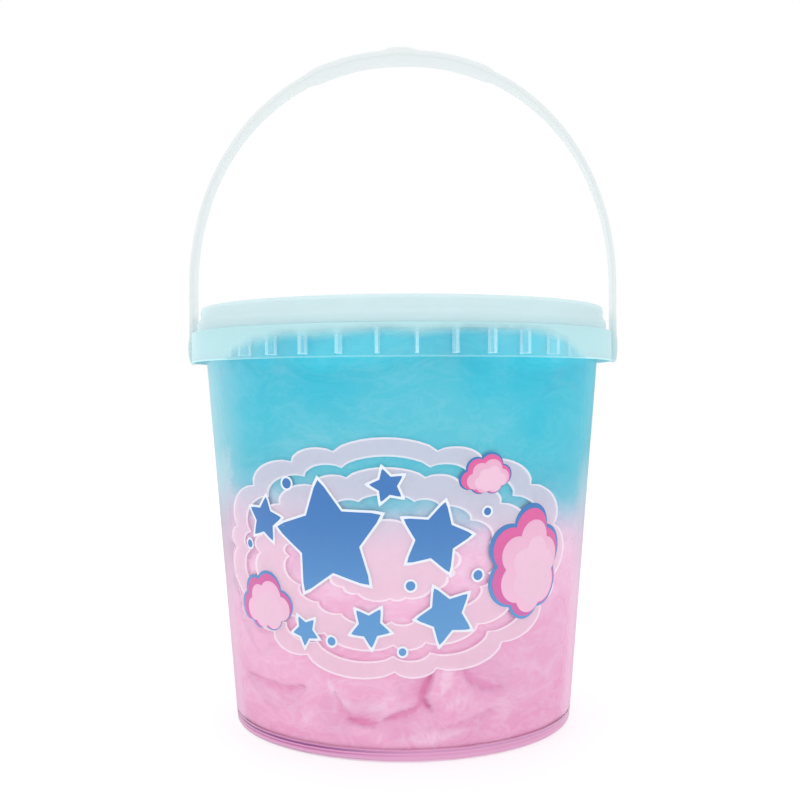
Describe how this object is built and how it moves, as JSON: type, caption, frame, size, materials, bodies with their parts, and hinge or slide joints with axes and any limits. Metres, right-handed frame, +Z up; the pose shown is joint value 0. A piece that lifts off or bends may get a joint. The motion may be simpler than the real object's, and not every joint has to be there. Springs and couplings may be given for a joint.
{
  "type": "tub of cotton candy",
  "caption": "Clear round tamper-evident pail with a cloudy press-on lid and a swinging bail handle, packed with fluffy blue spun sugar over pink.",
  "frame": {"origin": "centre of the pail's foot, on the plane that it stands on", "axes": "+Z up, -Y the printed front, X along the handle's hinge axis"},
  "size_m": [0.179, 0.1742, 0.277],
  "materials": {
    "clear_plastic": "clear moulded polypropylene, smooth and glossy, with a printed panel",
    "cloudy_plastic": "cloudy natural polypropylene, satin",
    "pale_plastic": "natural whitish polypropylene, satin",
    "pink_floss": "fluffy spun sugar, matt, fine strands and creases",
    "blue_floss": "fluffy spun sugar, matt, fine strands and creases"
  },
  "bodies": {
    "pail": {"tub": "clear_plastic", "lid": "cloudy_plastic", "floss_pink": "pink_floss", "floss_blue": "blue_floss"},
    "bail": {"handle": "pale_plastic"}
  },
  "joints": [
    {"name": "handle_swing", "type": "hinge", "parent": "pail", "child": "bail", "pos_m": [0, 0, 0.1529], "axis": [1, 0, 0], "range_deg": [-130, 130]}
  ]
}
